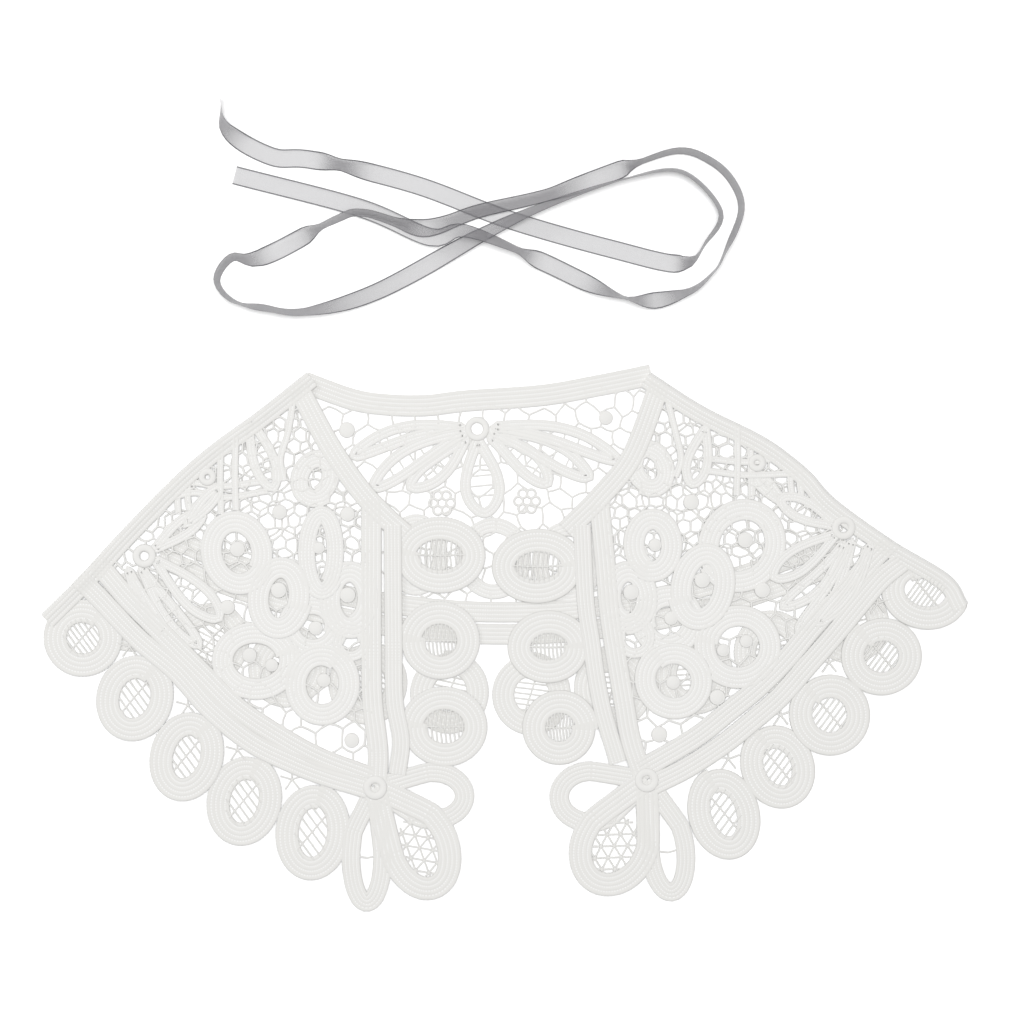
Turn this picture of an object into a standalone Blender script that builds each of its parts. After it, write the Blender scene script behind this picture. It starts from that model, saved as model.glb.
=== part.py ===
"""Tape-lace cape collar, laid flat and folded at both shoulders, with its loose ribbon tie.

World units are metres, +Z up; the sizes below are in millimetres. The back panel lies on z = 0 with
its wrong side up. Each shoulder is a fold, and the two fronts lie on the back panel, right side up.
The neck opening is at +Y and the scalloped hem at -Y. The ribbon lies loose past the neck edge.
"""
import math
from collections import namedtuple

import bmesh
import bpy
from mathutils import Vector

# Driving dimensions, in millimetres
MM = 0.001
WALL = 1.2                  # starched lace, tapes and nets alike
SEAM = 0.3                  # gap between neighbouring pieces
FRONT_LEVEL = WALL + SEAM   # underside of the fronts, which lie on the back panel
NECK_BAND_WIDTH = 11.5
BAND_WIDTH = 10.5           # the tapes that frame each front panel
GROUND_WIDTH = 20.0         # a tape with the bars that tie it to the loops beside it
NET_DROP = 0.4              # the net inside a loop is this much thinner than its tape
TAPE_SHARE = 0.5            # radius of a loop's net, as a share of the loop's own
RING_RADIUS = 6.7
RING_HEIGHT = 2.2
FOLD_HEIGHT = 4.0           # the folded edge stands this high
FOLD_BAND = 8.0             # width of cloth that belongs to the fold
BACK_CENTRE_Y = 438.5       # the back hem runs round this point on x = 0
BACK_BAND_RADIUS = 423.5
BACK_GROUND_RADIUS = 439.0
BACK_LOOP_RADIUS = 468.0
BACK_HALF_ANGLE = 30.0     # the hem tapes reach past the folds, which trim them
PANEL_HALF_ANGLE = 27.0
RIBBON_WIDTH = 10.0
RIBBON_WALL = 1.0
LOOP_SIDES = 24
FOLD_STEPS = 2              # sections of a fold for each pair of its points

Point = namedtuple("Point", "x y")
Loop = namedtuple("Loop", "name x y half_width half_height lean")
Knot = namedtuple("Knot", "x y rise")

# Folded edges, from the neck to the hem
FOLD = {
    "left": [Point(-107, 144.5), Point(-133.5, 123.5), Point(-157, 106.5), Point(-178, 88.5),
             Point(-207, 59), Point(-229, 35), Point(-250, 14)],
    "right": [Point(78.5, 144.5), Point(107.5, 126), Point(141, 109), Point(163.5, 92),
              Point(178.5, 76), Point(209, 54), Point(240, 35), Point(250, 20)],
}

# Middle lines of the tapes
BACK_NECK = [Point(-108, 139), Point(-83, 130), Point(-65, 127), Point(-43, 126.5),
             Point(-21, 129), Point(20, 132), Point(49, 137), Point(80, 144)]
FRONT_NECK = {
    "left": [Point(-112, 137), Point(-94, 104), Point(-78, 81), Point(-65, 67), Point(-54, 57)],
    "right": [Point(84, 139), Point(69, 100), Point(51, 77), Point(33, 59)],
}
FRONT_BAND = {
    "left": [Point(-72, 76), Point(-72, 0), Point(-71.5, -32), Point(-68.5, -59), Point(-69, -78)],
    "right": [Point(51, 73), Point(54, 43), Point(57, 11), Point(64, -32), Point(68, -54),
              Point(75, -75)],
}
FRONT_GROUND = {
    "left": [Point(-54.5, 56), Point(-55.5, 0), Point(-54.5, -32), Point(-51, -54), Point(-52, -70)],
    "right": [Point(37.5, 54), Point(39, 21), Point(41.5, 0), Point(47.5, -35), Point(55, -62),
              Point(60, -70)],
}
LOWER_BAND = {
    "left": [Point(-215, 36), Point(-202, 21), Point(-181, 0), Point(-164, -17), Point(-146, -35),
             Point(-126, -49), Point(-101, -63), Point(-72, -74)],
    "right": [Point(198, 43), Point(183, 26), Point(167, 8), Point(151, -11), Point(136, -26),
              Point(120, -39), Point(102, -53), Point(73, -70)],
}
HEM_GROUND = {
    "left": [Point(-218, 16), Point(-198, -6), Point(-177, -24), Point(-161, -42), Point(-136, -63),
             Point(-114, -72), Point(-97, -79), Point(-72, -84)],
    "right": [Point(205, 29), Point(193, 15), Point(183, 1), Point(169, -14), Point(155, -31),
              Point(141, -44), Point(127, -55), Point(110, -68), Point(80, -80)],
}

# Loops of tape along the hem, round the lower corner and up the centre front; lean is in degrees
LOOPS = {
    "left": [
        Loop("hem_loop_1", -228, 1.5, 21.5, 21.5, 0),
        Loop("hem_loop_2", -200, -31, 21, 24, -15),
        Loop("hem_loop_3", -172, -62.5, 20, 25, -15),
        Loop("hem_loop_4", -141, -86.5, 20.5, 25, -12),
        Loop("hem_loop_5", -104, -103.5, 20.5, 26.5, -5),
        Loop("corner_loop_large", -46, -112, 21.5, 29, 20),
        Loop("corner_loop_small", -74.5, -117.5, 13.5, 29, 0),
        Loop("corner_loop_upper", -38.5, -84, 22, 18, 0),
        Loop("front_loop_1", -35, 45.5, 25, 21, 0),
        Loop("front_loop_2", -35, -0.5, 22, 21.5, 0),
        Loop("front_loop_3", -32.5, -47, 23.5, 22, 0),
    ],
    "right": [
        Loop("hem_loop_1", 227, 26, 24, 20.5, -12),
        Loop("hem_loop_2", 203.5, -8.5, 22, 21.5, 12),
        Loop("hem_loop_3", 175.5, -40, 22, 22.5, 15),
        Loop("hem_loop_4", 147.5, -68, 20, 23.5, 20),
        Loop("hem_loop_5", 118.5, -93.5, 19.5, 25.5, 15),
        Loop("corner_loop_large", 59, -111, 23.5, 28, -28),
        Loop("corner_loop_small", 88, -114.5, 14.5, 26.5, 5),
        Loop("corner_loop_upper", 46, -84.5, 22, 19, 0),
        Loop("front_loop_1", 17.5, 39.5, 25, 20.5, 0),
        Loop("front_loop_2", 23.5, -4, 22.5, 20, 0),
        Loop("front_loop_3", 29.5, -47.5, 20.5, 20.5, 0),
    ],
}
CORNER_RING = {"left": Point(-70, -79.5), "right": Point(76.5, -75.5)}
BACK_RING = Point(-15, 114)
FIRST_BACK_LOOP = -25.4     # degrees from straight down
BACK_LOOP_PITCH = 5.42
BACK_LOOPS = 11

# The tie's own route along its middle, from one free end to the other; rise is its underside
RIBBON_ROUTE = [
    Knot(-153, 292, 0), Knot(-150, 275, 0), Knot(-126, 261, 0), Knot(-103, 259, 0),
    Knot(-49, 246, 0), Knot(2, 227, 0), Knot(58, 211, 0), Knot(96, 203, 0),
    Knot(108, 214, 0), Knot(116, 231, 0.3), Knot(95, 252, 1.3), Knot(64, 248, 1.4),
    Knot(22, 234, 1.4), Knot(-13, 218, 1.4), Knot(-69, 188, 0), Knot(-107, 177, 0),
    Knot(-130, 179, 0), Knot(-147, 183, 0), Knot(-155, 194, 0), Knot(-147, 206, 0),
    Knot(-132, 206, 0), Knot(-92, 226, 0), Knot(-76, 230, 0.2), Knot(-44, 222, 1.2),
    Knot(-13, 231, 2.8), Knot(25, 240, 2.9), Knot(67, 255, 2.9), Knot(93, 263, 2.7),
    Knot(110, 258, 1.6), Knot(122, 247, 1.4), Knot(127, 231, 1.5), Knot(118, 208, 1.4),
    Knot(112, 198, 0.5), Knot(97, 187, 0), Knot(66, 184, 0), Knot(18, 205, 1.6),
    Knot(-21, 220, 4.2), Knot(-40, 217, 3.9), Knot(-78, 233, 2.2), Knot(-146, 251, 0),
]
RIBBON_STRETCHES = {        # each runs between two of the route's folds
    "ribbon_upper_tail": (0, 7),
    "ribbon_inner_loop": (7, 17),
    "ribbon_outer_loop": (17, 34),
    "ribbon_lower_tail": (34, 39),
}
RIBBON_STEPS = 2            # sections for each pair of neighbouring knots


def clear_scene():
    for thing in list(bpy.data.objects):
        bpy.data.objects.remove(thing, do_unlink=True)


def fabric(name, color, roughness):
    material = bpy.data.materials.new(name)
    material.use_nodes = True
    shader = material.node_tree.nodes["Principled BSDF"]
    shader.inputs["Base Color"].default_value = (*color, 1.0)
    shader.inputs["Roughness"].default_value = roughness
    shader.inputs["Metallic"].default_value = 0.0
    return material


def make_object(name, bm, material):
    """One node from a bmesh in millimetres: faces out, in metres, with its own material."""
    bmesh.ops.recalc_face_normals(bm, faces=bm.faces)
    bmesh.ops.scale(bm, vec=Vector((MM, MM, MM)), verts=bm.verts)
    mesh = bpy.data.meshes.new(name)
    bm.to_mesh(mesh)
    bm.free()
    mesh.materials.append(material)
    piece = bpy.data.objects.new(name, mesh)
    bpy.context.scene.collection.objects.link(piece)
    return piece


def curve_through(knots, steps):
    """Points of a smooth curve through the knots, with that many for each pair of neighbours."""
    line = [Vector(knot) for knot in knots]
    line = [2 * line[0] - line[1], *line, 2 * line[-1] - line[-2]]
    points = []
    for before, start, end, after in zip(line, line[1:], line[2:], line[3:]):
        for step in range(steps):
            t = step / steps
            pull = (2 * before - 5 * start + 4 * end - after) * t * t
            twist = (3 * start - before - 3 * end + after) * t ** 3
            points.append(0.5 * (2 * start + (end - before) * t + pull + twist))
    points.append(line[-2])
    return points


def side_steps(line):
    """The unit vector to the left of a line on the table, at each of its points."""
    ahead = [line[1] - line[0], *(b - a for a, b in zip(line, line[2:])), line[-1] - line[-2]]
    return [Vector((-way.y, way.x)).normalized() for way in ahead]


def strip_outline(knots, width, grow=0.0, steps=3):
    """Outline of a tape along a smooth line, grown on all sides by that much."""
    line = curve_through(knots, steps)
    half = width / 2 + grow
    line[0] = line[0] + (line[0] - line[1]).normalized() * grow
    line[-1] = line[-1] + (line[-1] - line[-2]).normalized() * grow
    sides = side_steps(line)
    left = [point + side * half for point, side in zip(line, sides)]
    right = [point - side * half for point, side in zip(line, sides)]
    return left + right[::-1]


def oval_outline(x, y, half_width, half_height, lean=0.0, grow=0.0, sides=LOOP_SIDES):
    """Outline of a leaning oval; a positive lean tips its top towards -X."""
    turn = math.radians(lean)
    points = []
    for index in range(sides):
        angle = 2 * math.pi * index / sides
        across = (half_width + grow) * math.cos(angle)
        along = (half_height + grow) * math.sin(angle)
        points.append(Vector((x + across * math.cos(turn) - along * math.sin(turn),
                              y + across * math.sin(turn) + along * math.cos(turn))))
    return points


def arc_line(radius, first, last, steps=16):
    """Points round the back panel's own centre, by angles from straight down, in degrees."""
    angles = [math.radians(first + (last - first) * step / steps) for step in range(steps + 1)]
    return [Point(radius * math.sin(a), BACK_CENTRE_Y - radius * math.cos(a)) for a in angles]


def fold_outline(side, grow=0.0):
    """Everything from the fold's inner edge out past the folded edge, as an outline."""
    line = curve_through(FOLD[side], FOLD_STEPS)
    start = (line[0] - line[1]).normalized() * 40
    end = (line[-1] - line[-2]).normalized() * 2
    line = [line[0] + start, *line, line[-1] + end]
    inward = 1 if side == "left" else -1
    sides = side_steps(line)
    inner = [point + step * inward * (FOLD_BAND + grow) for point, step in zip(line, sides)]
    outer = [point - step * inward * 60 for point, step in zip(line, sides)]
    return inner + outer[::-1]


def slab(outline, low, high):
    """A flat wall with that outline, as a bmesh."""
    bm = bmesh.new()
    floor = bm.faces.new([bm.verts.new((point.x, point.y, low)) for point in outline])
    raised = bmesh.ops.extrude_face_region(bm, geom=[floor])["geom"]
    roof = [item for item in raised if isinstance(item, bmesh.types.BMVert)]
    bmesh.ops.translate(bm, vec=Vector((0, 0, high - low)), verts=roof)
    return bm


def loop_slab(loop, level):
    """A loop of tape with its net set a little lower than the tape."""
    bm = slab(oval_outline(*loop[1:]), level, level + WALL)
    roof = max(bm.faces, key=lambda face: face.calc_center_median().z)
    rim = bmesh.ops.inset_individual(bm, faces=[roof], thickness=0.2)
    net = rim["faces"] and roof
    middle = Vector((loop.x, loop.y, level + WALL))
    for vert in net.verts:
        outward = vert.co - middle
        vert.co = middle + outward * TAPE_SHARE / (1 - 0.2 / outward.length)
    dropped = bmesh.ops.extrude_face_region(bm, geom=[net])["geom"]
    bmesh.ops.delete(bm, geom=[net], context="FACES_ONLY")
    floor = [item for item in dropped if isinstance(item, bmesh.types.BMVert)]
    bmesh.ops.translate(bm, vec=Vector((0, 0, -NET_DROP)), verts=floor)
    return bm


def cut_away(piece, outlines):
    """Take the neighbours' grown outlines out of a flat piece."""
    for outline in outlines:
        cutter = make_object("cutter", slab(outline, -5, 15), piece.data.materials[0])
        cutter.hide_render = True
        cutter.display_type = "WIRE"
        cut = piece.modifiers.new("seam", "BOOLEAN")
        cut.operation = "DIFFERENCE"
        cut.solver = "EXACT"
        cut.object = cutter
    shape = piece.evaluated_get(bpy.context.evaluated_depsgraph_get())
    mesh = bpy.data.meshes.new_from_object(shape)
    piece.modifiers.clear()
    piece.data = mesh
    for thing in list(bpy.data.objects):
        if thing.name.startswith("cutter"):
            bpy.data.objects.remove(thing, do_unlink=True)


def add_flat(name, outline, level, neighbours, height=WALL):
    piece = make_object(name, slab(outline, level, level + height), LACE)
    cut_away(piece, neighbours)


def add_loops(side):
    """The loops of one front, the first of two that cross keeping its whole outline."""
    fold = fold_outline(side, SEAM)
    ring = oval_outline(*CORNER_RING[side], RING_RADIUS, RING_RADIUS, grow=SEAM)
    done = []
    order = sorted(LOOPS[side], key=lambda loop: loop.name.startswith("hem_loop"))
    for loop in order:
        piece = make_object(f"{loop.name}_{side}", loop_slab(loop, FRONT_LEVEL), LACE)
        reach = max(loop.half_width, loop.half_height)
        near = [oval_outline(*other[1:], grow=SEAM) for other in done
                if math.hypot(other.x - loop.x, other.y - loop.y)
                < reach + max(other.half_width, other.half_height) + SEAM]
        if loop.name == "hem_loop_1":
            near.append(fold)
        if loop.name.startswith("corner") or loop.name == "hem_loop_5":
            near.append(ring)
        cut_away(piece, near)
        done.append(loop)


def add_front(side):
    """The panel of one front and the tapes and barred grounds that frame it."""
    fold = fold_outline(side, SEAM)
    ring = oval_outline(*CORNER_RING[side], RING_RADIUS, RING_RADIUS, grow=SEAM)
    loops = [oval_outline(*loop[1:], grow=SEAM) for loop in LOOPS[side]]
    neck = strip_outline(FRONT_NECK[side], NECK_BAND_WIDTH, SEAM)
    band = strip_outline(FRONT_BAND[side], BAND_WIDTH, SEAM)
    lower = strip_outline(LOWER_BAND[side], BAND_WIDTH, SEAM)

    add_flat(f"neck_band_front_{side}", strip_outline(FRONT_NECK[side], NECK_BAND_WIDTH),
             FRONT_LEVEL, [fold, loops[8]])
    add_flat(f"front_band_{side}", strip_outline(FRONT_BAND[side], BAND_WIDTH),
             FRONT_LEVEL, [neck, ring])
    add_flat(f"lower_band_{side}", strip_outline(LOWER_BAND[side], BAND_WIDTH),
             FRONT_LEVEL, [fold, band, ring, loops[0]])
    add_flat(f"front_ground_{side}", strip_outline(FRONT_GROUND[side], GROUND_WIDTH),
             FRONT_LEVEL, [neck, band, ring, *loops[5:]])
    add_flat(f"hem_ground_{side}", strip_outline(HEM_GROUND[side], GROUND_WIDTH),
             FRONT_LEVEL, [fold, lower, band, ring, *loops[:8]])

    edge = curve_through(FOLD[side][:-2], FOLD_STEPS)
    edge += curve_through(LOWER_BAND[side], 3)
    edge += curve_through(FRONT_BAND[side][:-1], 3)[::-1]
    edge += curve_through(FRONT_NECK[side][:3], 3)[::-1]
    add_flat(f"front_panel_{side}", edge, FRONT_LEVEL, [fold, neck, band, lower, ring, loops[0]])

    place = CORNER_RING[side]
    add_flat(f"corner_ring_{side}", oval_outline(*place, RING_RADIUS, RING_RADIUS, sides=20),
             FRONT_LEVEL, [], RING_HEIGHT)


def add_back():
    """The back panel and its tapes, ring and hem loops, flat on the table."""
    folds = [fold_outline("left", SEAM), fold_outline("right", SEAM)]
    neck = strip_outline(BACK_NECK, NECK_BAND_WIDTH, SEAM)
    wide = BACK_HALF_ANGLE
    band_line = arc_line(BACK_BAND_RADIUS, -wide, wide)
    ground_line = arc_line(BACK_GROUND_RADIUS, -wide, wide)
    band = strip_outline(band_line, BAND_WIDTH, SEAM, steps=1)
    ring = oval_outline(*BACK_RING, RING_RADIUS, RING_RADIUS, grow=SEAM)

    add_flat("neck_band_back", strip_outline(BACK_NECK, NECK_BAND_WIDTH), 0, folds)
    add_flat("lower_band_back", strip_outline(band_line, BAND_WIDTH, steps=1), 0, folds)
    edge = curve_through(BACK_NECK, 3) + curve_through(FOLD["right"][:-3], 3)[1:]
    foot = arc_line(BACK_BAND_RADIUS, PANEL_HALF_ANGLE, -PANEL_HALF_ANGLE)
    edge += [Vector(point) for point in foot]
    edge += curve_through(FOLD["left"][:-2], 3)[:0:-1]
    add_flat("back_panel", edge, 0, [*folds, neck, band, ring])
    add_flat("back_ring", oval_outline(*BACK_RING, RING_RADIUS, RING_RADIUS, sides=20), 0, [])

    outlines = []
    for index in range(BACK_LOOPS):
        turn = FIRST_BACK_LOOP + index * BACK_LOOP_PITCH
        place = arc_line(BACK_LOOP_RADIUS, turn, turn, 1)[0]
        shape = (place.x, place.y, 21.7, 22.5, turn)
        piece = make_object(f"back_hem_loop_{index + 1}", slab(oval_outline(*shape), 0, WALL), LACE)
        cut_away(piece, [*folds, *outlines[-1:]])
        outlines.append(oval_outline(*shape, grow=SEAM))
    add_flat("hem_ground_back", strip_outline(ground_line, GROUND_WIDTH, steps=1), 0,
             [*folds, band, *outlines])


def add_fold(side):
    """The rolled edge: back layer, round turn and front layer in one wall."""
    line = curve_through(FOLD[side], FOLD_STEPS)
    inward = 1 if side == "left" else -1
    turn = FOLD_HEIGHT / 2
    tight = turn - WALL
    profile = [(FOLD_BAND, 0)]
    for step in range(6):
        angle = math.pi * step / 5
        profile.append((turn - turn * math.sin(angle), turn - turn * math.cos(angle)))
    profile += [(FOLD_BAND, FRONT_LEVEL + WALL), (FOLD_BAND, FRONT_LEVEL)]
    for step in range(4):
        angle = math.pi * step / 3
        profile.append((turn - tight * math.sin(angle), turn + tight * math.cos(angle)))
    profile.append((FOLD_BAND, WALL))
    bm = bmesh.new()
    sections = []
    for point, step in zip(line, side_steps(line)):
        places = [point + step * inward * depth for depth, _ in profile]
        sections.append([bm.verts.new((place.x, place.y, height))
                         for place, (_, height) in zip(places, profile)])
    join_sections(bm, sections)
    piece = make_object(f"shoulder_fold_{side}", bm, LACE)
    piece.data.shade_smooth()
    piece.data.set_sharp_from_angle(angle=math.radians(50))


def join_sections(bm, sections):
    """Skin rings of vertices into one closed wall."""
    for ring, following in zip(sections, sections[1:]):
        for a, b, c, d in zip(ring, ring[1:] + ring[:1], following[1:] + following[:1], following):
            bm.faces.new((a, b, c, d))
    bm.faces.new(sections[0])
    bm.faces.new(sections[-1])


def add_ribbon():
    """The tie's stretches, each a flat wall; where they cross, the later one lies higher."""
    route = curve_through(RIBBON_ROUTE, RIBBON_STEPS)
    sides = side_steps(route)
    for name, (first, last) in RIBBON_STRETCHES.items():
        bm = bmesh.new()
        sections = []
        for index in range(first * RIBBON_STEPS, last * RIBBON_STEPS + 1):
            across = sides[index]
            ahead = Vector((across.y, -across.x))
            inset = (index == first * RIBBON_STEPS) - (index == last * RIBBON_STEPS)
            middle = route[index].xy + ahead * inset * SEAM / 2
            low = max(route[index].z, 0)
            near = middle - across * RIBBON_WIDTH / 2
            far = middle + across * RIBBON_WIDTH / 2
            high = low + RIBBON_WALL
            corners = [(*near, low), (*far, low), (*far, high), (*near, high)]
            sections.append([bm.verts.new(corner) for corner in corners])
        join_sections(bm, sections)
        make_object(name, bm, ORGANZA)


clear_scene()
LACE = fabric("white_cotton_lace", (0.84, 0.83, 0.81), 0.9)
ORGANZA = fabric("grey_organza", (0.22, 0.22, 0.24), 0.5)
add_back()
for front in ("left", "right"):
    add_fold(front)
    add_front(front)
    add_loops(front)
add_ribbon()
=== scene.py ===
import math
import random
from collections import namedtuple

import bmesh
import bpy
import numpy as np
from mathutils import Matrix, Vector


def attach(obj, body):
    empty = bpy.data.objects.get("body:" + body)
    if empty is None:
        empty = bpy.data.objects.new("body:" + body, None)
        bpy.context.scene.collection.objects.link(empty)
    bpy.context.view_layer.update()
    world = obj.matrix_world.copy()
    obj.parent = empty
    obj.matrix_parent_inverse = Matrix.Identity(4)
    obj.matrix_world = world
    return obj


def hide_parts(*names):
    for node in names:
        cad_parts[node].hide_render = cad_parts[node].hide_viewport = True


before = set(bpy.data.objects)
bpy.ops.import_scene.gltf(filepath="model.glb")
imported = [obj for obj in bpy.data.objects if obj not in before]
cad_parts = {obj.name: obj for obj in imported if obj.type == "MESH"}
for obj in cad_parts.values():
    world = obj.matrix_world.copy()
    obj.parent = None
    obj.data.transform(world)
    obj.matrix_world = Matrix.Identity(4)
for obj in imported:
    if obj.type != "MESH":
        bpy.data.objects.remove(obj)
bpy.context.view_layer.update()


# ------------------------------------------------------------------------------
# Table top, camera and light: a plain white sweep, seen from straight above. One soft lamp hangs
# near the camera, a weaker one rakes from the left, and the room's own light fills the shadows.
# ------------------------------------------------------------------------------
VIEW_CENTRE = (0.0038, 0.0691)
VIEW_WIDTH = 0.553
LENS, SENSOR = 85.0, 36.0
ROOM_LIGHT = 0.32
TABLE_SIZE = 4.0
TABLE_DROP = 0.0002         # keeps the table's face just below the lace
TABLE_WHITE = (0.97, 0.97, 0.97, 1)


def soft_light(name, place, size, power):
    lamp = bpy.data.lights.new(name, "AREA")
    lamp.size = size
    lamp.energy = power
    holder = bpy.data.objects.new(name, lamp)
    holder.location = place
    aim = Vector((*VIEW_CENTRE, 0)) - Vector(place)
    holder.rotation_euler = aim.to_track_quat("-Z", "Y").to_euler()
    bpy.context.scene.collection.objects.link(holder)


def camera_and_light():
    camera = bpy.data.objects.new("camera", bpy.data.cameras.new("camera"))
    camera.data.lens = LENS
    camera.data.sensor_width = SENSOR
    camera.location = (*VIEW_CENTRE, VIEW_WIDTH * LENS / SENSOR)
    bpy.context.scene.collection.objects.link(camera)
    bpy.context.scene.camera = camera
    bpy.context.scene.view_settings.view_transform = "Standard"

    soft_light("overhead", place=(0.05, 0.2, 2.4), size=0.8, power=50)
    soft_light("left_rake", place=(-1.3, 0.9, 0.8), size=0.5, power=6)
    world = bpy.data.worlds.new("studio")
    world.use_nodes = True
    background = world.node_tree.nodes["Background"]
    background.inputs["Color"].default_value = (1, 1, 1, 1)
    background.inputs["Strength"].default_value = ROOM_LIGHT
    bpy.context.scene.world = world


def table_top():
    bm = bmesh.new()
    bmesh.ops.create_grid(bm, x_segments=1, y_segments=1, size=TABLE_SIZE / 2)
    mesh = bpy.data.meshes.new("table_top")
    bm.to_mesh(mesh)
    bm.free()
    table = bpy.data.objects.new("table_top", mesh)
    table.location.z = -TABLE_DROP
    bpy.context.scene.collection.objects.link(table)
    paint = bpy.data.materials.new("white_table")
    paint.use_nodes = True
    shader = paint.node_tree.nodes["Principled BSDF"]
    shader.inputs["Base Color"].default_value = TABLE_WHITE
    shader.inputs["Roughness"].default_value = 0.9
    mesh.materials.append(paint)


camera_and_light()
table_top()


# ------------------------------------------------------------------------------
# Ribbon tie: 1.25 m of 10 mm grey organza ribbon with woven selvedges, cut square at both ends.
# It lies loose above the neck edge, not threaded in, and stands up on its edge round its bends.
# ------------------------------------------------------------------------------
MM = 0.001                  # every table is in millimetres, as a pattern cutter writes them
RIBBON_WIDTH = 10.0
RIBBON_STEP = 3.0           # spacing of the sections that carry its twists
RIBBON_CLEARANCE = 0.3      # under its lower edge
RIBBON_SHARES = (-1, -0.5, 0, 0.5, 1)
SELVEDGE = 0.065            # share of the width that each woven edge takes
WEFT_PITCH = 0.0009         # in metres along the ribbon
WARP_PITCH = 0.07           # as a share of its width
SHEER_GREY = (0.23, 0.225, 0.24, 1)
SELVEDGE_GREY = (0.10, 0.10, 0.11, 1)

Knot = namedtuple("Knot", "x y rise")
RIBBON_ROUTE = [
    Knot(-153, 292, 0), Knot(-150, 275, 0), Knot(-126, 261, 0), Knot(-103, 259, 0),
    Knot(-49, 246, 0), Knot(2, 227, 0), Knot(58, 211, 0), Knot(96, 203, 0),
    Knot(108, 214, 0), Knot(116, 231, 0.3), Knot(95, 252, 1.3), Knot(64, 248, 1.4),
    Knot(22, 234, 1.4), Knot(-13, 218, 1.4), Knot(-69, 188, 0), Knot(-107, 177, 0),
    Knot(-130, 179, 0), Knot(-147, 183, 0), Knot(-155, 194, 0), Knot(-147, 206, 0),
    Knot(-132, 206, 0), Knot(-92, 226, 0), Knot(-76, 230, 0.2), Knot(-44, 222, 1.2),
    Knot(-13, 231, 2.8), Knot(25, 240, 2.9), Knot(67, 255, 2.9), Knot(93, 263, 2.7),
    Knot(110, 258, 1.6), Knot(122, 247, 1.4), Knot(127, 231, 1.5), Knot(118, 208, 1.4),
    Knot(112, 198, 0.5), Knot(97, 187, 0), Knot(66, 184, 0), Knot(18, 205, 1.6),
    Knot(-21, 220, 4.2), Knot(-40, 217, 3.9), Knot(-78, 233, 2.2), Knot(-146, 251, 0),
]
# How far the ribbon is turned up on its edge, in degrees, by knots along the route
RIBBON_TURNS = [
    (0, 85), (0.5, 78), (1, 45), (1.5, 8), (3, 0), (3.3, 62), (3.6, 10), (4, 0), (6.8, 0),
    (7.1, 60), (7.5, 84), (8, 80), (9, 68), (10, 68), (10.6, 74), (11, 78), (11.5, 70),
    (12.3, 55), (13, 35), (13.5, 8), (14.3, 25), (15, 60), (15.6, 68), (16.2, 62), (16.6, 80),
    (17, 74), (18, 76), (19, 72), (19.6, 64), (20, 30), (20.3, 5), (20.6, 20), (20.75, 80),
    (21, 74), (22, 72), (22.6, 66), (23, 15), (23.5, 45), (24, 50), (25, 55), (25.5, 15),
    (25.9, 20), (26.05, 80), (26.5, 78), (28, 76), (30, 75), (30.6, 72), (31, 84), (31.8, 85),
    (32.4, 78), (33, 62), (33.6, 15), (34, 80), (34.2, 60), (34.5, 10), (35, 5), (35.2, 66),
    (35.6, 52), (36, 40), (36.6, 20), (37, 0), (39, 0),
]


def smooth(knots, step, closed=False):
    """Evenly spaced points of a smooth curve through the knots."""
    line = [Vector(knot) for knot in knots]
    if closed:
        line = [line[-1], *line, line[0], line[1]]
    else:
        line = [2 * line[0] - line[1], *line, 2 * line[-1] - line[-2]]
    points = []
    for before, start, end, after in zip(line, line[1:], line[2:], line[3:]):
        pieces = max(1, round((end - start).length / step))
        for index in range(pieces):
            t = index / pieces
            pull = (2 * before - 5 * start + 4 * end - after) * t * t
            twist = (3 * start - before - 3 * end + after) * t ** 3
            points.append(0.5 * (2 * start + (end - before) * t + pull + twist))
    return points if closed else [*points, line[-2]]


def sideways(line, closed=False):
    """The unit vector to the left of a line on the table, at each of its points."""
    if closed:
        ways = [b - a for a, b in zip([line[-1], *line], [*line[1:], line[0]])]
    else:
        ways = [line[1] - line[0], *(b - a for a, b in zip(line, line[2:])), line[-1] - line[-2]]
    return [Vector((-way.y, way.x)).normalized() for way in ways]


class Socket:
    """A shader socket that Python's own arithmetic works on."""

    def __init__(self, tree, link):
        self.tree, self.link = tree, link

    def node(self, kind, settings=None, **values):
        return add_node(self.tree, kind, settings, **values)

    def math(self, operation, *others, flipped=False):
        values = (*others, self) if flipped else (self, *others)
        return self.node("ShaderNodeMath", {"operation": operation}, **dict(zip("01", values)))

    def __add__(self, other):
        return self.math("ADD", other)

    def __radd__(self, other):
        return self.math("ADD", other, flipped=True)

    def __sub__(self, other):
        return self.math("SUBTRACT", other)

    def __rsub__(self, other):
        return self.math("SUBTRACT", other, flipped=True)

    def __mul__(self, other):
        return self.math("MULTIPLY", other)

    def __rmul__(self, other):
        return self.math("MULTIPLY", other, flipped=True)

    def __gt__(self, other):
        return self.math("GREATER_THAN", other)

    def __abs__(self):
        return self.math("ABSOLUTE")

    def wave(self, pitch):
        """A sine that comes round once in each pitch."""
        return (self * (2 * math.pi / pitch)).math("SINE")

    def split(self):
        """The first two parts of a vector."""
        return [self.node("ShaderNodeSeparateXYZ", output=part, Vector=self) for part in (0, 1)]

    def blend(self, low, high):
        """A colour from low, where this is 0, to high, where it is 1."""
        return self.node("ShaderNodeMix", {"data_type": "RGBA"}, output=2, Factor=self,
                         **{"6": low, "7": high})


def add_node(tree, kind, settings=None, output=0, **values):
    """A node with its settings, then its sockets' values or links; names like 0 are positions."""
    node = tree.nodes.new(kind)
    for name, value in (settings or {}).items():
        setattr(node, name, value)
    for name, value in values.items():
        socket = node.inputs[int(name) if name.isdigit() else name.replace("_", " ")]
        if isinstance(value, Socket):
            tree.links.new(value.link, socket)
        else:
            socket.default_value = value
    return Socket(tree, node.outputs[output])


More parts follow.
